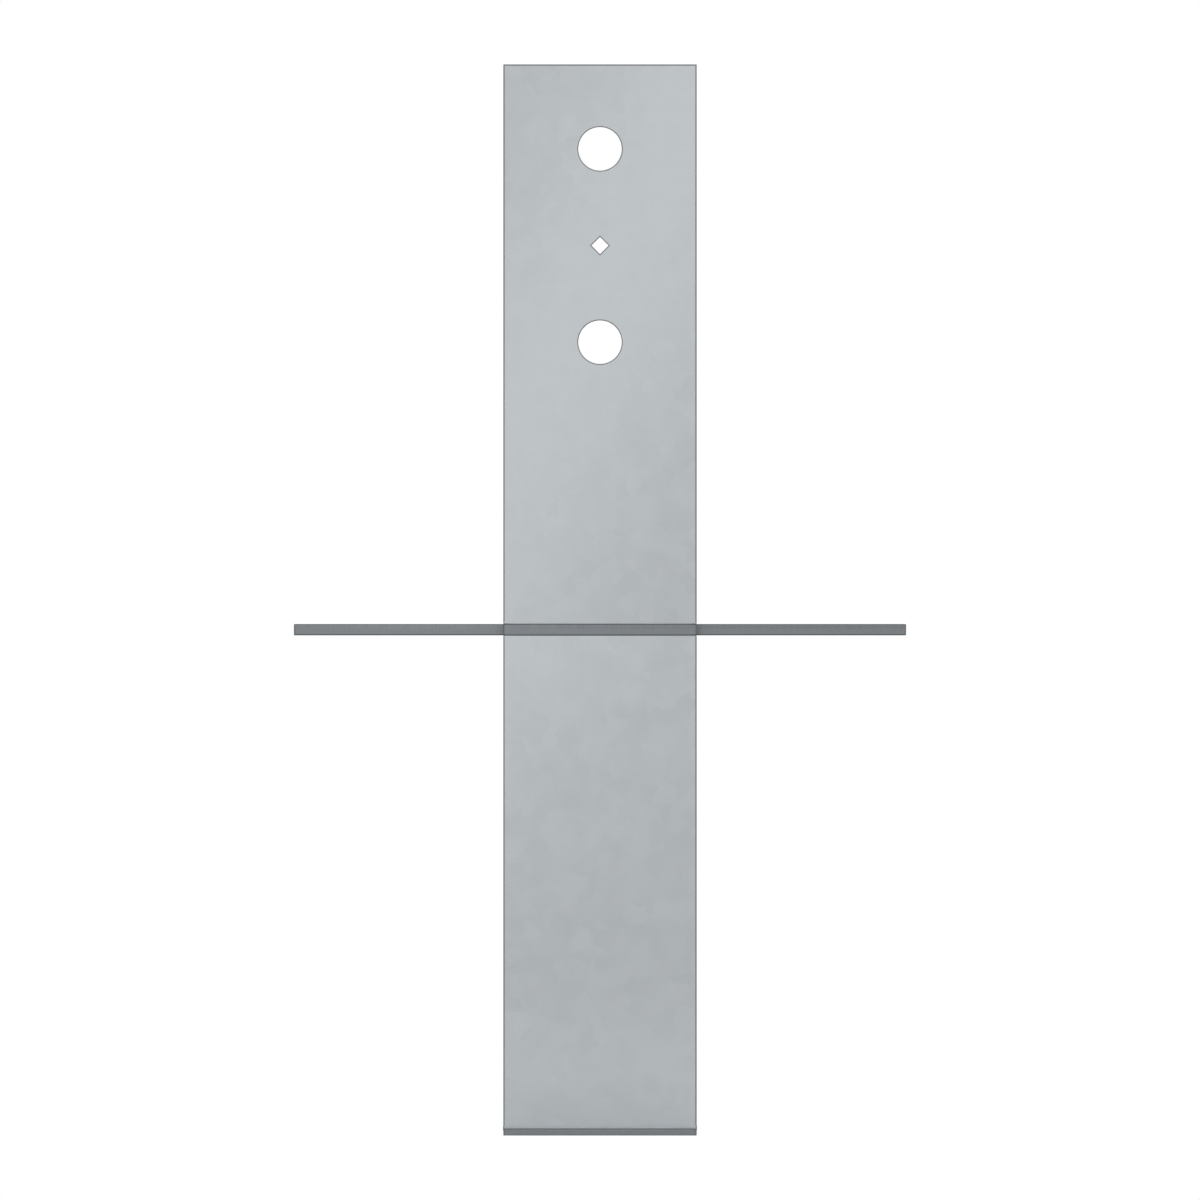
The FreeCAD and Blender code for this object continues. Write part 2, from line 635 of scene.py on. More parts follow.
def weld_skin(half_run, leg, crown, pitch, height, seed):
    """Closed skin of a rippled fillet bead, as rows of run, inwards, along the strap, and crest.

    On a ray that leaves the corner at a turn between the plate and the strap, the bead's surface
    lies at leg / (cos + sin) + crown * sin of twice the turn. Ripples are added as bows that lag in
    the middle and rise faster than they fall, the toes waver, a bell of extra metal lies where the
    run starts and a bell is missing where it stops, and at both ends the section shrinks as a
    quarter circle to a point.
    """
    toe_waver, plate_wave, strap_wave = 0.07, 11 * MM, 14 * MM
    bow, drift, drift_wave, skew, level = 1.3, 0.35, 9 * MM, 0.65, 0.6
    blob_height, blob_place, blob_spread = 0.35 * MM, 1.1 * leg, 0.7 * leg
    crater_depth, crater_place, crater_spread = 0.45 * MM, 1.0 * leg, 0.5 * leg

    run = half_run * np.sin(np.linspace(-np.pi / 2, np.pi / 2, BEAD_RUN_POINTS))[:, None]
    turn = np.linspace(0, np.pi / 2, BEAD_TURN_POINTS)[None]
    belly = np.sin(2 * turn)
    plate_toe = np.cos(turn) ** 2 * wander(run, seed, plate_wave)
    strap_toe = np.sin(turn) ** 2 * wander(run, seed + 1, strap_wave)
    toes = 1 + toe_waver * (plate_toe + strap_toe)
    phase = (run + bow * pitch * belly) / pitch + drift * wander(run, seed + 2, drift_wave)
    crest = np.sin(np.pi * (phase % 1.0) ** skew)
    ripple = np.sqrt(belly.clip(0)) * height * (crest - level)
    smooth_end = np.clip((half_run - np.abs(run)) / leg, 0, 1)
    fullness = np.sqrt(1 - (1 - smooth_end) ** 2)
    blob = blob_height * np.exp(-(((run + half_run - blob_place) / blob_spread) ** 2))
    crater = crater_depth * np.exp(-(((run - half_run + crater_place) / crater_spread) ** 2))
    body = toes * leg / (np.cos(turn) + np.sin(turn))
    radius = fullness * (body + belly * (crown + blob - crater) + ripple)
    along = np.broadcast_to(run, radius.shape)
    bead = np.stack([along, radius * np.cos(turn), radius * np.sin(turn), crest], axis=-1)
    corner = np.concatenate([run, 0 * run, 0 * run, 0 * run], axis=-1)[:, None]
    skin = Skin()
    skin.add(np.concatenate([corner, bead], axis=1), closed=True)
    return skin


class Wiring:
    """Adds nodes to a shader tree and links them."""

    def __init__(self, tree):
        self.tree = tree

    def add(self, kind, feeds=None, **settings):
        """A node with its settings. feeds gives sockets by name or place a value or a link."""
        made = self.tree.nodes.new(kind)
        for label, value in settings.items():
            setattr(made, label, value)
        for socket, value in (feeds or {}).items():
            self.feed(made.inputs[socket], value)
        return made

    def feed(self, socket, value):
        if isinstance(value, bpy.types.NodeSocket):
            self.tree.links.new(value, socket)
        else:
            socket.default_value = value

    def maths(self, operation, *values, clamp=False):
        feeds = dict(enumerate(values))
        return self.add("ShaderNodeMath", feeds, operation=operation, use_clamp=clamp).outputs[0]

    def vectors(self, operation, *values):
        feeds = dict(enumerate(values))
        return self.add("ShaderNodeVectorMath", feeds, operation=operation).outputs[0]

    def blend(self, share, first, second):
        """A number between first and second."""
        feeds = {0: share, 2: first, 3: second}
        return self.add("ShaderNodeMix", feeds, data_type="FLOAT").outputs[0]

    def tint(self, share, first, second):
        """A colour between first and second."""
        feeds = {0: share, 6: first, 7: second}
        return self.add("ShaderNodeMix", feeds, data_type="RGBA").outputs[2]

    def span(self, value, low, high, to_low=0.0, to_high=1.0):
        """value from low to high spread smoothly over to_low to to_high."""
        feeds = {0: value, 1: low, 2: high, 3: to_low, 4: to_high}
        return self.add("ShaderNodeMapRange", feeds, interpolation_type="SMOOTHSTEP").outputs[0]

    def noise(self, vector, scale, detail=2.0, roughness=0.5):
        feeds = {"Vector": vector, "Scale": scale, "Detail": detail, "Roughness": roughness}
        return self.add("ShaderNodeTexNoise", feeds)

    def cells(self, vector, scale):
        """Cells round scattered middles, each with its own random colour."""
        return self.add("ShaderNodeTexVoronoi", {"Vector": vector, "Scale": scale}, feature="F1")

    def attribute(self, label):
        return self.add("ShaderNodeAttribute", attribute_name=label)


def node_group(name, takes, gives):
    """An empty shader group with its sockets: takes and gives are (name, kind, default) rows."""
    group = bpy.data.node_groups.new(name, "ShaderNodeTree")
    for label, kind, default in takes:
        socket = group.interface.new_socket(label, in_out="INPUT", socket_type=kind)
        if default is not None:
            socket.default_value = default
    for label, kind in gives:
        group.interface.new_socket(label, in_out="OUTPUT", socket_type=kind)
    wiring = Wiring(group)
    return group, wiring, wiring.add("NodeGroupInput").outputs, wiring.add("NodeGroupOutput").inputs


VALUE = "NodeSocketFloat"
VECTOR = "NodeSocketVector"


def zinc_coat_group():
    """Zinc coat: faint crystals, each with its own shade and feathering, cloudy patches and grain."""
    group, wire, takes, gives = node_group(
        "Zinc Coat",
        [
            ("Sheet", VECTOR, None),
            ("Spangle Scale", VALUE, 160.0),
            ("Spangle", VALUE, 0.3),
            ("Cloud", VALUE, 0.5),
        ],
        [("Tone", VALUE), ("Roughness", VALUE), ("Height", VALUE)],
    )
    sheet = takes["Sheet"]
    sway = wire.vectors("SUBTRACT", wire.noise(sheet, 190.0).outputs["Color"], (0.5, 0.5, 0.5))
    sway = wire.add("ShaderNodeVectorMath", {0: sway, "Scale": 4.5 * MM}, operation="SCALE").outputs[0]
    rolled = wire.vectors("MULTIPLY", sheet, (1.0, 0.92, 1.0))
    crystal = wire.cells(wire.vectors("ADD", rolled, sway), takes["Spangle Scale"])
    shade = wire.add("ShaderNodeSeparateColor", {0: crystal.outputs["Color"]}).outputs
    turned = wire.add(
        "ShaderNodeVectorRotate",
        {"Vector": sheet, "Angle": wire.maths("MULTIPLY", shade[1], 2 * math.pi)},
        rotation_type="Z_AXIS",
    )
    stretched = wire.vectors("MULTIPLY", turned.outputs[0], (1.0, 0.14, 1.0))
    feather = wire.noise(stretched, 1500.0).outputs["Fac"]
    cloud = wire.noise(sheet, 26.0, 3.0, 0.55).outputs["Fac"]
    patch = wire.noise(rolled, 100.0, 3.0, 0.55).outputs["Fac"]
    grain = wire.noise(sheet, 2600.0).outputs["Fac"]

    crystals = wire.maths("SUBTRACT", wire.blend(0.35, shade[0], feather), 0.5)
    clouds = wire.maths("SUBTRACT", wire.blend(0.65, cloud, patch), 0.5)
    tone = wire.maths("MULTIPLY_ADD", crystals, takes["Spangle"], 0.5)
    tone = wire.maths("MULTIPLY_ADD", clouds, takes["Cloud"], tone)
    tone = wire.maths("MULTIPLY_ADD", wire.maths("SUBTRACT", grain, 0.5), 0.07, tone, clamp=True)
    wire.feed(gives["Tone"], tone)
    mottle = wire.maths("ADD", crystals, clouds)
    wire.feed(gives["Roughness"], wire.maths("MULTIPLY_ADD", mottle, 0.1, 0.44))
    fine = wire.maths("MULTIPLY", grain, 0.6)
    wire.feed(gives["Height"], wire.maths("MULTIPLY_ADD", feather, 0.4, fine))
    return group


def cut_steel_group():
    """A cut edge: a scored burnished land where the blade went in, then a crumbly broken one."""
    group, wire, takes, gives = node_group(
        "Cut Steel",
        [("Sheet", VECTOR, None), ("Thickness", VALUE, 2.75 * MM)],
        [("Tone", VALUE), ("Roughness", VALUE), ("Height", VALUE)],
    )
    sheet = takes["Sheet"]
    drawn_down = wire.vectors("MULTIPLY", sheet, (1.0, 1.0, 0.05))
    along_edge = wire.vectors("MULTIPLY", sheet, (1.0, 1.0, 0.0))
    scores = wire.noise(drawn_down, 1300.0, 3.0, 0.6).outputs["Fac"]
    crumble = wire.noise(sheet, 3200.0, 3.0, 0.65).outputs["Fac"]
    drift = wire.noise(along_edge, 70.0).outputs["Fac"]
    down = wire.add("ShaderNodeSeparateXYZ", {0: sheet}).outputs[2]
    depth = wire.maths("DIVIDE", down, takes["Thickness"])
    broken_from = wire.maths("MULTIPLY_ADD", drift, 0.3, 0.3)
    broken = wire.span(wire.maths("SUBTRACT", depth, broken_from), -0.03, 0.06)
    land = wire.maths("SUBTRACT", scores, 0.12)
    rubble = wire.maths("ADD", crumble, 0.25)
    wire.feed(gives["Tone"], wire.blend(broken, land, rubble))
    wire.feed(gives["Roughness"], wire.blend(broken, 0.42, 0.6))
    wire.feed(gives["Height"], wire.blend(broken, scores, wire.maths("MULTIPLY", crumble, 1.6)))
    return group


def weld_heat_group():
    """Beside a bead: zinc burnt off in a ragged band, pale oxide past it, and drops of spatter."""
    group, wire, takes, gives = node_group(
        "Weld Heat",
        [("Sheet", VECTOR, None), ("Distance", VALUE, 0.1), ("Reach", VALUE, 3.5 * MM)],
        [("Burn", VALUE), ("Oxide", VALUE), ("Spatter", VALUE)],
    )
    sheet = takes["Sheet"]
    drift = wire.noise(sheet, 170.0, 3.0, 0.6).outputs["Fac"]
    smoke = wire.noise(sheet, 900.0, 3.0, 0.65).outputs["Fac"]
    far = wire.maths("DIVIDE", takes["Distance"], takes["Reach"])
    far = wire.maths("MULTIPLY_ADD", wire.maths("SUBTRACT", drift, 0.5), 1.1, far)
    far = wire.maths("MULTIPLY_ADD", wire.maths("SUBTRACT", smoke, 0.5), 0.5, far)
    wire.feed(gives["Burn"], wire.span(far, 0.3, 1.0, 0.9, 0.0))
    rise, fall = wire.span(far, 0.75, 1.15), wire.span(far, 1.2, 2.4, 0.6, 0.0)
    wire.feed(gives["Oxide"], wire.maths("MULTIPLY", rise, fall))

    drop = wire.cells(sheet, 480.0)
    luck = wire.add("ShaderNodeSeparateColor", {0: drop.outputs["Color"]}).outputs
    size = wire.maths("MULTIPLY_ADD", luck[1], 0.1, 0.07)
    outside = wire.maths("SUBTRACT", drop.outputs["Distance"], size)
    share = wire.span(takes["Distance"], 0.0, 15 * MM, 0.22, 0.0)
    fell_here = wire.maths("LESS_THAN", luck[0], share)
    spot = wire.span(outside, -0.05, 0.0, 1.0, 0.0)
    wire.feed(gives["Spatter"], wire.maths("MULTIPLY", spot, fell_here))
    return group


def bend_craze_group():
    """Zinc on a tight bend: dulled and darkened on both sides, and cracked across the strip where
    stretched. The darkening is partly painted shade that keeps the inside of the bend from showing a
    highlight.

    Strain is 1 on the stretched side of the bend, -1 on the squeezed side, and 0 on flat sheet.
    """
    group, wire, takes, gives = node_group(
        "Bend Craze",
        [("Sheet", VECTOR, None), ("Strain", VALUE, 0.0)],
        [("Dull", VALUE), ("Crack", VALUE)],
    )
    sheet = takes["Sheet"]
    drift = wire.noise(sheet, 240.0).outputs["Fac"]
    drawn_across = wire.vectors("MULTIPLY", sheet, (0.05, 1.0, 0.05))
    lines = wire.span(wire.noise(drawn_across, 7500.0).outputs["Fac"], 0.48, 0.68, 0.0, 0.8)
    worked = wire.maths("ABSOLUTE", takes["Strain"])
    stretched = wire.span(wire.maths("MULTIPLY_ADD", drift, 0.5, takes["Strain"]), 0.5, 1.2)
    wire.feed(gives["Dull"], wire.maths("MULTIPLY", worked, wire.span(drift, 0.2, 0.7, 0.6, 1.0)))
    wire.feed(gives["Crack"], wire.maths("MULTIPLY", lines, stretched))
    return group


def scaled(colour, factor=1.0):
    """A colour made lighter or darker, with full opacity."""
    return tuple(min(1.0, channel * factor) for channel in colour) + (1.0,)


def sheet_finish(scene, name, zinc, thickness, arris_shade):
    """Material of a zinc-coated blank: coat on its faces, bare steel on its cuts, burnt near beads.

    arris_shade is how light the arrises of the cuts are beside the rest of the cut steel. Only a
    bent piece has a strain, and on the others it reads 0.
    """
    finishes = scene.column_base_finishes
    steel = finishes.cut_steel
    material = bpy.data.materials.new(name)
    material.use_nodes = True
    wire = Wiring(material.node_tree)
    shader = material.node_tree.nodes["Principled BSDF"]
    sheet = wire.attribute("sheet").outputs["Vector"]
    bare = wire.attribute("bare").outputs["Fac"]
    arris = wire.attribute("arris").outputs["Fac"]
    feeds = {
        "coat": {
            "Spangle Scale": 1 / finishes.spangle_size,
            "Spangle": SPANGLE_SHARE,
            "Cloud": CLOUD_SHARE,
        },
        "cut": {"Thickness": thickness},
        "heat": {
            "Distance": wire.attribute("toe").outputs["Fac"],
            "Reach": scene.column_base_sizes.heat_reach,
        },
        "craze": {"Strain": wire.attribute("strain").outputs["Fac"]},
    }
    coat, cut, heat, craze = (
        wire.add("ShaderNodeGroup", {"Sheet": sheet, **feeds[key]}, node_tree=group).outputs
        for key, group in shared_groups().items()
    )

    coated = wire.tint(coat["Tone"], scaled(zinc, 1 - ZINC_SWING), scaled(zinc, 1 + ZINC_SWING))
    # Partly painted shade: the worked zinc of the bend is darkened, which holds down the highlight on
    # the inside of the bend
    coated = wire.tint(craze["Dull"], coated, scaled(zinc, CRAZED_AND_PAINTED_SHADE))
    coated = wire.tint(craze["Crack"], coated, scaled(steel, CRACK_SHADE))
    coated = wire.tint(heat["Burn"], coated, scaled(finishes.burnt_zinc))
    coated = wire.tint(heat["Oxide"], coated, scaled(finishes.zinc_oxide))
    coated = wire.tint(heat["Spatter"], coated, scaled(finishes.weld_scale))
    uncoated = wire.tint(cut["Tone"], scaled(steel, 1 - CUT_SWING), scaled(steel, 1 + CUT_SWING))
    uncoated = wire.tint(wire.span(arris, 0.15, 0.9), uncoated, scaled(steel, arris_shade))
    nibble = wire.noise(sheet, 2200.0).outputs["Fac"]
    bare = wire.span(wire.maths("MULTIPLY_ADD", nibble, 0.3, bare), 0.2, 0.85)
    wire.feed(shader.inputs["Base Color"], wire.tint(bare, coated, uncoated))

    rough = wire.blend(craze["Dull"], coat["Roughness"], CRAZED_ROUGHNESS)
    rough = wire.blend(wire.maths("MAXIMUM", heat["Burn"], heat["Oxide"]), rough, BURNT_ROUGHNESS)
    wire.feed(shader.inputs["Roughness"], wire.blend(bare, rough, cut["Roughness"]))

    relief = wire.maths("MULTIPLY", heat["Spatter"], SPATTER_HEIGHT)
    relief = wire.maths("MULTIPLY_ADD", craze["Crack"], CRACK_HEIGHT, relief)
    relief = wire.maths("MULTIPLY_ADD", coat["Height"], COAT_HEIGHT, relief)
    relief = wire.blend(bare, relief, cut["Height"])
    bump = wire.add("ShaderNodeBump", {"Strength": 0.22, "Distance": 0.05 * MM, "Height": relief})
    wire.feed(shader.inputs["Normal"], bump.outputs[0])
    shader.inputs["Metallic"].default_value = 0.6
    return material


def weld_finish(finishes):
    """Material of the beads: bright crests, scaled grooves, straw and blue heat colours, pits."""
    material = bpy.data.materials.new("Weld bead")
    material.use_nodes = True
    wire = Wiring(material.node_tree)
    shader = material.node_tree.nodes["Principled BSDF"]
    place = wire.add("ShaderNodeTexCoord").outputs["Object"]
    crest = wire.attribute("crest").outputs["Fac"]
    cloud = wire.noise(place, 330.0, 3.0, 0.6).outputs["Fac"]
    speck = wire.noise(place, 2800.0, 3.0, 0.7).outputs["Fac"]
    dusted = wire.maths("MULTIPLY_ADD", wire.maths("SUBTRACT", speck, 0.5), 0.7, crest)
    bright = wire.span(dusted, 0.02, 0.75)
    steel = wire.tint(bright, scaled(finishes.weld_scale), scaled(finishes.weld_steel))
    steel = wire.tint(wire.span(cloud, 0.55, 0.72, 0.0, 0.45), steel, scaled(STRAW))
    steel = wire.tint(wire.span(cloud, 0.45, 0.3, 0.0, 0.4), steel, scaled(BLUE))
    wire.feed(shader.inputs["Base Color"], steel)
    wire.feed(shader.inputs["Roughness"], wire.blend(bright, 0.62, 0.36))
    bump = wire.add("ShaderNodeBump", {"Strength": 0.35, "Distance": 0.06 * MM, "Height": speck})
    wire.feed(shader.inputs["Normal"], bump.outputs[0])
    shader.inputs["Metallic"].default_value = 0.75
    return material


def shared_groups():
    """The effects that every sheet material uses, built the first time they are asked for."""
    makers = {
        "coat": ("Zinc Coat", zinc_coat_group),
        "cut": ("Cut Steel", cut_steel_group),
        "heat": ("Weld Heat", weld_heat_group),
        "craze": ("Bend Craze", bend_craze_group),
    }
    return {key: bpy.data.node_groups.get(name) or make() for key, (name, make) in makers.items()}


class ColumnBasePlate(bpy.types.Operator):
    """Build the base plate with its tabs and sheared edges"""

    bl_idname = "column_base.plate"
    bl_label = "Base Plate"

    def execute(self, context):
        scene = context.scene
        sizes, finishes = scene.column_base_sizes, scene.column_base_finishes
        seat_u, tab_u = PLATE_HIGH[0] - EDGE_MARGIN, STRAP_HALF_WIDTH - EDGE_MARGIN
        tab_s, seat_s = PLATE_HIGH[1] - EDGE_MARGIN, -INNER_FACE_Y - EDGE_MARGIN
        root = EDGE_MARGIN + CORNER_TUCK
        u_stops = [-seat_u, -seat_u + CORNER_TUCK, -tab_u - root, -tab_u, -tab_u + CORNER_TUCK]
        s_stops = [-tab_s, -tab_s + CORNER_TUCK, -seat_s - root, -seat_s, -seat_s + CORNER_TUCK]
        u_lines = spaced(u_stops + [-stop for stop in u_stops[::-1]], PLATE_STEP)
        s_lines = spaced(s_stops + [-stop for stop in s_stops[::-1]], PLATE_STEP)
        corners = [
            (-tab_u, -tab_s), (tab_u, -tab_s), (tab_u, -seat_s), (seat_u, -seat_s),
            (seat_u, seat_s), (tab_u, seat_s), (tab_u, tab_s), (-tab_u, tab_s),
            (-tab_u, seat_s), (-seat_u, seat_s), (-seat_u, -seat_s), (-tab_u, -seat_s),
        ]
        kept = [(-seat_u, seat_u, -seat_s, seat_s), (-tab_u, tab_u, -tab_s, tab_s)]
        profile = cut_profile(
            PLATE_THICKNESS, sizes.plate_rollover, sizes.burr, lip=sizes.plate_lip
        )
        skin = cut_blank(corners, u_lines, s_lines, kept, [], PLATE_THICKNESS, profile)
        flat, quads = skin.arrays()
        u, s, d, bare, arris = flat.T
        # The burr is pressed flat where a lower strap meets the tab
        at_tab = np.abs(u) < tab_u + EDGE_MARGIN
        d = np.where(at_tab, np.minimum(d, PLATE_THICKNESS), d)
        place = np.stack([u, s, PLATE_HIGH[2] - d], axis=-1)
        toe = from_bead(u, -INNER_FACE_Y - np.abs(s), True)
        tab_end = (np.abs(u) < tab_u) & (np.abs(s) >= tab_s)
        arris = arris * np.where(tab_end, TAB_ARRIS * (d < PLATE_THICKNESS / 2), 1)
        material = sheet_finish(
            scene, "Galvanised plate", finishes.plate_zinc, PLATE_THICKNESS, PLATE_ARRIS_SHADE
        )
        name = "base_plate"
        traits = sheet_traits(name, flat, bare, arris, toe)
        add_piece(name, material, place, quads, traits)
        return {"FINISHED"}


class ColumnBaseUpperStraps(bpy.types.Operator):
    """Build the punched straps above the plate"""

    bl_idname = "column_base.upper_straps"
    bl_label = "Upper Straps"

    def execute(self, context):
        scene = context.scene
        sizes, finishes = scene.column_base_sizes, scene.column_base_finishes
        length = UPPER_HIGH[2] - UPPER_LOW[2]
        low_bolt, high_bolt = (MOUNTS[name + "_bolt_bore"] for name in ("lower", "upper"))
        low_s, high_s = (mount["pos_m"][2] - UPPER_LOW[2] for mount in (low_bolt, high_bolt))
        nail_s = (low_s + high_s) / 2
        bolt = round_punch(low_bolt["dims"]["r_mm"] * MM)
        nail = diamond_punch(sizes.nail_hole_side)
        punches = [
            ((0.0, low_s), (BOLT_CELL, BOLT_CELL), bolt),
            ((0.0, nail_s), (BOLT_CELL, NAIL_CELL), nail),
            ((0.0, high_s), (BOLT_CELL, BOLT_CELL), bolt),
        ]
        half, foot, top = STRAP_HALF_WIDTH - EDGE_MARGIN, EDGE_MARGIN, length - EDGE_MARGIN
        u_stops = tucked(-half, half, -BOLT_CELL, 0.0, BOLT_CELL)
        s_stops = [
            stop for (_, at), (_, reach), _ in punches for stop in (at - reach, at, at + reach)
        ]
        u_lines = spaced(u_stops, PUNCHED_STEP)
        s_lines = spaced(tucked(foot, top, *s_stops), PUNCHED_STEP)
        corners, kept = rectangle(-half, half, foot, top), [(-half, half, foot, top)]
        edge = cut_profile(STRAP_THICKNESS, sizes.rollover, sizes.burr)
        wall = cut_profile(STRAP_THICKNESS, sizes.punch_rollover, sizes.burr, sizes.punch_flare)
        skin = cut_blank(corners, u_lines, s_lines, kept, punches, STRAP_THICKNESS, edge, wall)
        flat, quads = skin.arrays()
        u, s, d, bare, arris = flat.T
        inside = np.clip((half - np.abs(u)) / SEAM_PRESS_FADE, 0, 1)
        rolled = (s < foot) & (d < ROLLOVER_REACH * sizes.rollover)
        seated = np.where(rolled, d * (1 - SEAM_PRESS * inside), d)
        place = np.stack([u, OUTER_FACE_Y + seated, UPPER_LOW[2] + s], axis=-1)
        toe = from_bead(u, s, d > INNER_FACE_FROM * STRAP_THICKNESS)
        # At the seam the cut end keeps most of its zinc colour, painted light that lightens the shade
        # in the groove, and its arris is not darkened there
        bare, arris = bare * np.where(s > foot, 1, SEAM_PAINTED_LIGHT_BARE), arris * (s > foot)
        material = sheet_finish(
            scene, "Galvanised strip, upper", finishes.upper_zinc, STRAP_THICKNESS, STRIP_ARRIS_SHADE
        )
        for side, turn in SIDES:
            name = side + "_upper_strap"
            traits = sheet_traits(name, flat, bare, arris, toe)
            add_piece(name, material, place * turn, quads, traits)
        return {"FINISHED"}


class ColumnBaseLowerStraps(bpy.types.Operator):
    """Build the straps below the plate, bent out into feet"""

    bl_idname = "column_base.lower_straps"
    bl_label = "Lower Straps"

    def execute(self, context):
        scene = context.scene
        sizes, finishes = scene.column_base_sizes, scene.column_base_finishes
        bend = sizes.bend_radius
        axis_y, axis_z = OUTER_FACE_Y - bend, STRAP_THICKNESS + bend
        bend_start = LOWER_HIGH[2] - axis_z
        bend_end = bend_start + (bend + STRAP_THICKNESS / 2) * np.pi / 2
        length = bend_end + axis_y - FOOT_END_Y
        half, head, end = STRAP_HALF_WIDTH - EDGE_MARGIN, EDGE_MARGIN, length - EDGE_MARGIN
        u_lines = spaced(tucked(-half, half), BENT_STEP)
        s_stops = tucked(head, end, bend_start - BEND_MARGIN, bend_end + BEND_MARGIN)
        fine_lines = np.linspace(
            bend_start - FINE_BEND_MARGIN, bend_end + FINE_BEND_MARGIN, FINE_BEND_LINES
        )
        s_lines = np.unique(np.concatenate([spaced(s_stops, BENT_STEP), fine_lines]))
        corners, kept = rectangle(-half, half, head, end), [(-half, half, head, end)]
        edge = cut_profile(STRAP_THICKNESS, sizes.rollover, sizes.burr)
        skin = cut_blank(corners, u_lines, s_lines, kept, [], STRAP_THICKNESS, edge)
        flat, quads = skin.arrays()
        # The lower straps get the lighter copy of the zinc, painted light for the less light low down
        material = sheet_finish(
            scene, "Galvanised strip, lower", finishes.lower_zinc_painted_lighter, STRAP_THICKNESS, STRIP_ARRIS_SHADE
        )
        place, strain = self.bent(
            flat, bend_start, bend_end, axis_y, axis_z, bend, sizes.bend_bulge
        )
        u, s, d, bare, arris = flat.T
        toe = from_bead(u, s, d > INNER_FACE_FROM * STRAP_THICKNESS)
        arris = arris * np.where(s > head, 1, SEAM_ARRIS)
        for side, turn in SIDES:
            name = side + "_lower_strap"
            traits = sheet_traits(name, flat, bare, arris, toe)
            traits["strain"] = strain
            add_piece(name, material, place * turn, quads, traits)
        return {"FINISHED"}

    @staticmethod
    def bent(flat, bend_start, bend_end, axis_y, axis_z, bend, bulge):
        """Stands the flat strip on end and turns its foot out.

        Above the bend s runs straight down, in the bend it turns a quarter circle about the axis at
        a radius of the bend plus the depth, and past it s runs straight out. Across the bend the
        width grows on the inside and shrinks on the outside by the bulge, as a bell along s. The
        strain is that bell, from -1 on the inside to 1 on the outside.
        """
        u, s, d = flat.T[:3]
        turn = np.clip((s - bend_start) / (bend_end - bend_start), 0, 1) * np.pi / 2
        above = np.clip(bend_start - s, 0, None)
        past = np.clip(s - bend_end, 0, None)
        middle, spread = (bend_start + bend_end) / 2, (bend_end - bend_start) / 2
        strain = np.exp(-(((s - middle) / spread) ** 4)) * (2 * d / STRAP_THICKNESS - 1)
        across = u * (1 - bulge / STRAP_HALF_WIDTH * strain)
        y = axis_y + (bend + d) * np.cos(turn) - past
        z = axis_z - (bend + d) * np.sin(turn) + above
        return np.stack([across, y, z], axis=-1), strain


class ColumnBaseWelds(bpy.types.Operator):
    """Run the rippled weld beads along the inside of the straps"""

    bl_idname = "column_base.welds"
    bl_label = "Weld Beads"

    def execute(self, context):
        scene = context.scene
        sizes, finishes = scene.column_base_sizes, scene.column_base_finishes
        material = weld_finish(finishes)
        beads = [
            ("front_upper_weld", FRONT, PLATE_HIGH[2], 1, 11),
            ("rear_upper_weld", REAR, PLATE_HIGH[2], 1, 23),
            ("front_lower_weld", FRONT, PLATE_LOW[2], -1, 37),
            ("rear_lower_weld", REAR, PLATE_LOW[2], -1, 53),
        ]
        shape = (BEAD_HIGH[0], BEAD_LEG, sizes.weld_crown, sizes.ripple_pitch, sizes.ripple_height)
        for name, turn, corner_z, rise, seed in beads:
            bead, quads = weld_skin(*shape, seed).arrays()
            run, inwards, along, crest = bead.T
            place = np.stack([run, INNER_FACE_Y + inwards, corner_z + rise * along], axis=-1)
            add_piece(name, material, place * turn, quads, {"crest": crest})
        return {"FINISHED"}


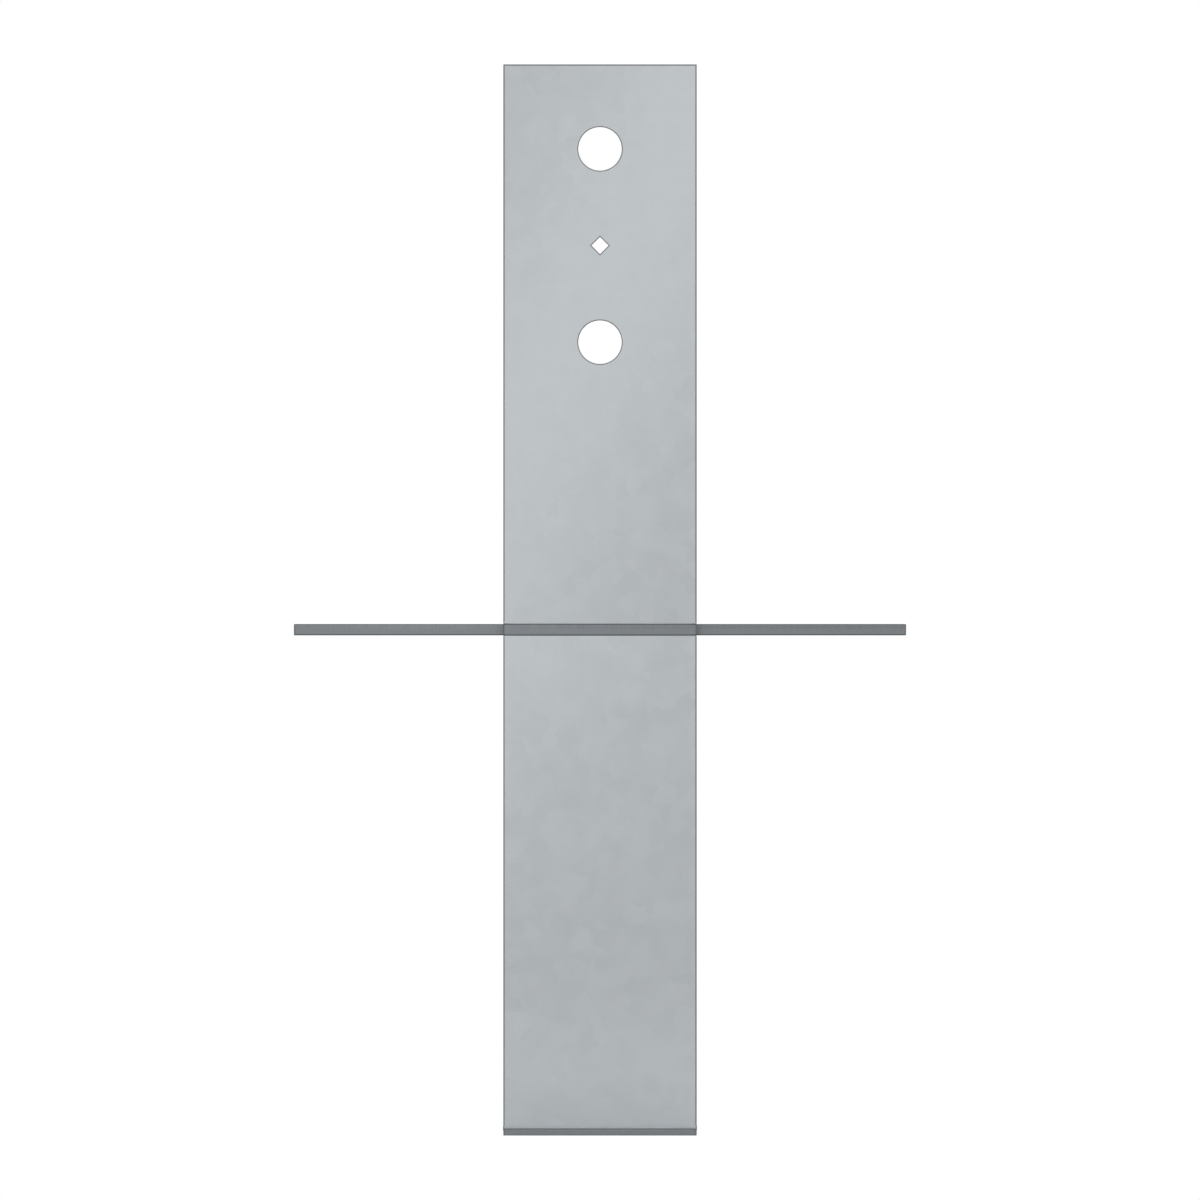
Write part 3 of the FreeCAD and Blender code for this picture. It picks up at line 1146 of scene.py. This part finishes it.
class ColumnBaseStudioSetup(bpy.types.Operator):
    """Lay the floor and set the lamps, the white surround and the camera"""

    bl_idname = "column_base.studio"
    bl_label = "Studio"

    def execute(self, context):
        studio = context.scene.column_base_studio
        self.lay_floor(context.scene, studio)
        self.light_world(context.scene, studio)
        self.hang_lamps(context.scene, studio)
        self.set_camera(context.scene, studio)
        context.scene.view_settings.view_transform = "Standard"
        return {"FINISHED"}

    @staticmethod
    def lay_floor(scene, studio):
        """A wide square that fades into the white surround away from the object."""
        half = 12.0
        mesh = bpy.data.meshes.new("floor")
        corners = [(-half, -half, 0), (half, -half, 0), (half, half, 0), (-half, half, 0)]
        mesh.from_pydata(corners, [], [(0, 1, 2, 3)])
        floor = bpy.data.objects.new("floor", mesh)
        scene.collection.objects.link(floor)
        material = bpy.data.materials.new("Studio floor")
        material.use_nodes = True
        wire = Wiring(material.node_tree)
        shader = material.node_tree.nodes["Principled BSDF"]
        place = wire.add("ShaderNodeTexCoord").outputs["Object"]
        cloud = wire.noise(place, 5.0, 3.0).outputs["Fac"]
        pale, paler = (scaled(studio.floor_colour, factor) for factor in (0.985, 1.015))
        wire.feed(shader.inputs["Base Color"], wire.tint(cloud, pale, paler))
        shader.inputs["Roughness"].default_value = 0.9
        glow = wire.add("ShaderNodeEmission", {"Color": (1, 1, 1, 1), "Strength": 1.0})
        away = wire.add("ShaderNodeVectorMath", {0: place}, operation="LENGTH").outputs["Value"]
        mix = {0: wire.span(away, 0.2, 1.0), 1: shader.outputs[0], 2: glow.outputs[0]}
        fade = wire.add("ShaderNodeMixShader", mix)
        wire.feed(material.node_tree.nodes["Material Output"].inputs["Surface"], fade.outputs[0])
        mesh.materials.append(material)

    @staticmethod
    def light_world(scene, studio):
        """White to the eye and in reflections, a softer even light otherwise."""
        world = bpy.data.worlds.new("Studio surround")
        world.use_nodes = True
        scene.world = world
        wire = Wiring(world.node_tree)
        path = wire.add("ShaderNodeLightPath").outputs
        seen = wire.maths("MAXIMUM", path["Is Camera Ray"], path["Is Glossy Ray"])
        seen = wire.maths("MAXIMUM", seen, path["Is Transmission Ray"])
        background = world.node_tree.nodes["Background"]
        background.inputs["Color"].default_value = (1, 1, 1, 1)
        wire.feed(background.inputs["Strength"], wire.blend(seen, studio.sky_strength, 1.0))

    @classmethod
    def hang_lamps(cls, scene, studio):
        """Four large lamps round the object, and two small ones in front with their twins behind."""
        middle = (0, 0, 0.24)
        rows = [
            ("Key lamp", (-1.1, -1.4, 0.6), middle, (1.2, 0.9), studio.key_power),
            ("Fill lamp", (1.5, -0.9, 0.7), middle, (1.0, 1.0), studio.fill_power),
            ("Top lamp", (-0.2, 0.1, 1.7), middle, (2.4, 2.4), studio.top_power),
            ("Back lamp", (0.7, 1.5, 0.9), middle, (1.2, 0.9), studio.back_power),
        ]
        for name, place, target, size, power in rows:
            cls.hang_lamp(scene, name, place, target, size, power)
        slant, narrow = {"lean": -30.0}, {"beam": 15.5}
        strip, low = studio.strip_power, studio.low_power
        twins = [
            ("strip lamp", (-0.015, -0.27, 0.308), (-0.015, 0, 0.308), (0.06, 0.48), strip, slant),
            ("low lamp", (0, -0.55, 0.13), (0, -0.073, 0), (0.25, 0.03), low, narrow),
        ]
        for name, place, target, size, power, way in twins:
            for side, turn in (("Front ", FRONT), ("Back ", REAR)):
                cls.hang_lamp(scene, side + name, turn * place, turn * target, size, power, **way)

    @staticmethod
    def hang_lamp(scene, name, place, target, size, power, lean=0.0, beam=180.0):
        """A rectangular lamp that looks at its target, turned about its own axis by lean degrees.

        beam is the angle in degrees that its light spreads over.
        """
        light = bpy.data.lights.new(name, "AREA")
        light.shape = "RECTANGLE"
        light.size, light.size_y = size
        light.energy = power
        light.spread = math.radians(beam)
        lamp = bpy.data.objects.new(name, light)
        lamp.location = place
        facing = (Vector(target) - Vector(place)).to_track_quat("-Z", "Y")
        lamp.rotation_euler = (facing @ Quaternion((0, 0, 1), math.radians(lean))).to_euler()
        lamp.visible_camera = False
        scene.collection.objects.link(lamp)

    @staticmethod
    def set_camera(scene, studio):
        """Square on to the front straps, free of perspective."""
        away = 1.5
        lens = bpy.data.cameras.new("Front view")
        lens.type = "ORTHO"
        lens.ortho_scale = studio.view_width
        camera = bpy.data.objects.new("Front view", lens)
        camera.location = (0, -away, studio.view_height)
        camera.rotation_euler = (math.pi / 2, 0, 0)
        scene.collection.objects.link(camera)
        scene.camera = camera


class ColumnBasePanel(bpy.types.Panel):
    """Sizes, finishes and steps of the column base"""

    bl_idname = "VIEW3D_PT_column_base"
    bl_label = "Column Base"
    bl_space_type = "VIEW_3D"
    bl_region_type = "UI"
    bl_category = "Column Base"

    def draw(self, context):
        for label, group in GROUPS.items():
            column = self.layout.column(align=True)
            for value in group.__annotations__:
                column.prop(getattr(context.scene, label), value)
        for step in STEPS:
            self.layout.operator(step.bl_idname)


STEPS = (
    ColumnBasePlate,
    ColumnBaseUpperStraps,
    ColumnBaseLowerStraps,
    ColumnBaseWelds,
    ColumnBaseStudioSetup,
)
GROUPS = {
    "column_base_sizes": ColumnBaseSizes,
    "column_base_finishes": ColumnBaseFinishes,
    "column_base_studio": ColumnBaseStudio,
}


def register():
    for kind in (*GROUPS.values(), *STEPS, ColumnBasePanel):
        bpy.utils.register_class(kind)
    for label, group in GROUPS.items():
        setattr(bpy.types.Scene, label, PointerProperty(type=group))


def unregister():
    for label in GROUPS:
        delattr(bpy.types.Scene, label)
    for kind in (ColumnBasePanel, *reversed(STEPS), *GROUPS.values()):
        bpy.utils.unregister_class(kind)


def main():
    """Builds every piece, then the studio."""
    register()
    bpy.ops.column_base.plate()
    bpy.ops.column_base.upper_straps()
    bpy.ops.column_base.lower_straps()
    bpy.ops.column_base.welds()
    bpy.ops.column_base.studio()


if __name__ == "__main__":
    main()
